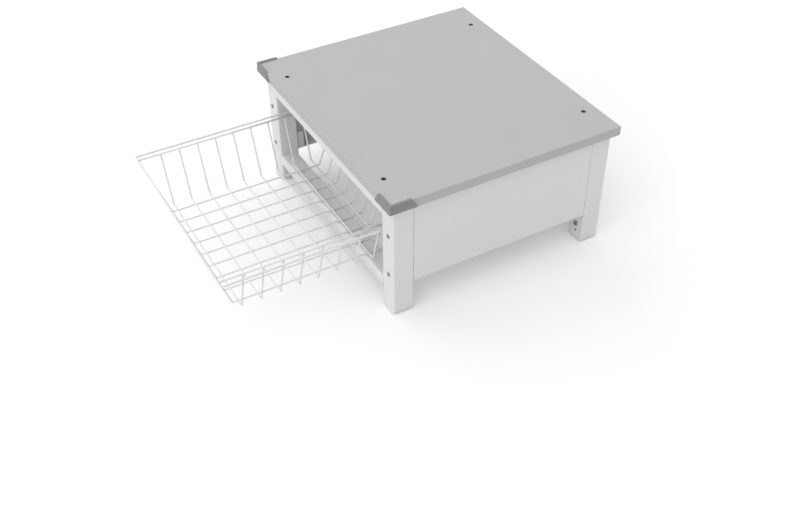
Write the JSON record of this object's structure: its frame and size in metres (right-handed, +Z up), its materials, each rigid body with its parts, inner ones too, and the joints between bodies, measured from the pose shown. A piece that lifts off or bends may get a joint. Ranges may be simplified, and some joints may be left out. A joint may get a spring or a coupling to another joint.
{
  "type": "washing machine stand",
  "caption": "Low stand for a washing machine: a grey board on a white folded-sheet frame, with corner stops on the board and a wire basket that slides out under it at the front.",
  "frame": {"origin": "on the floor, under the middle of the board", "axes": "+X to the right along the front, +Y to the back, +Z up"},
  "size_m": [0.606, 0.8615, 0.2932],
  "materials": {
    "plate_grey": "grey melamine-faced board, matt",
    "white_coat": "white powder coat, fine satin",
    "wire_coat": "white coated wire, satin",
    "stop_grey": "moulded, fine grain",
    "foot_black": "moulded, matt",
    "fastener_steel": "zinc plated, dull"
  },
  "bodies": {
    "stand": {"brackets_front_left": "white_coat", "brackets_front_right": "white_coat", "brackets_rear_left": "white_coat", "brackets_rear_right": "white_coat", "corner_stop_left": "stop_grey", "corner_stop_right": "stop_grey", "foot_front_left": "foot_black", "foot_front_right": "foot_black", "foot_rear_left": "foot_black", "foot_rear_right": "foot_black", "foot_screws": "fastener_steel", "leg_bolts": "fastener_steel", "leg_front_left": "white_coat", "leg_front_right": "white_coat", "leg_nuts": "fastener_steel", "leg_rear_left": "white_coat", "leg_rear_right": "white_coat", "plate_nuts": "fastener_steel", "plate_screws": "fastener_steel", "rail_front_lower": "white_coat", "rail_front_upper": "white_coat", "rail_rear_lower": "white_coat", "rail_rear_upper": "white_coat", "side_panel_left": "white_coat", "side_panel_right": "white_coat", "slide_rail_left": "white_coat", "slide_rail_right": "white_coat", "top_plate": "plate_grey"},
    "basket": {"basket_runner_frame": "wire_coat", "basket_side_rims": "wire_coat", "basket_cross_wires": "wire_coat", "basket_long_wires": "wire_coat"}
  },
  "joints": [
    {"name": "basket_slide", "type": "slide", "parent": "stand", "child": "basket", "axis": [0, 1, 0], "range_m": [0, 0.3355]}
  ]
}
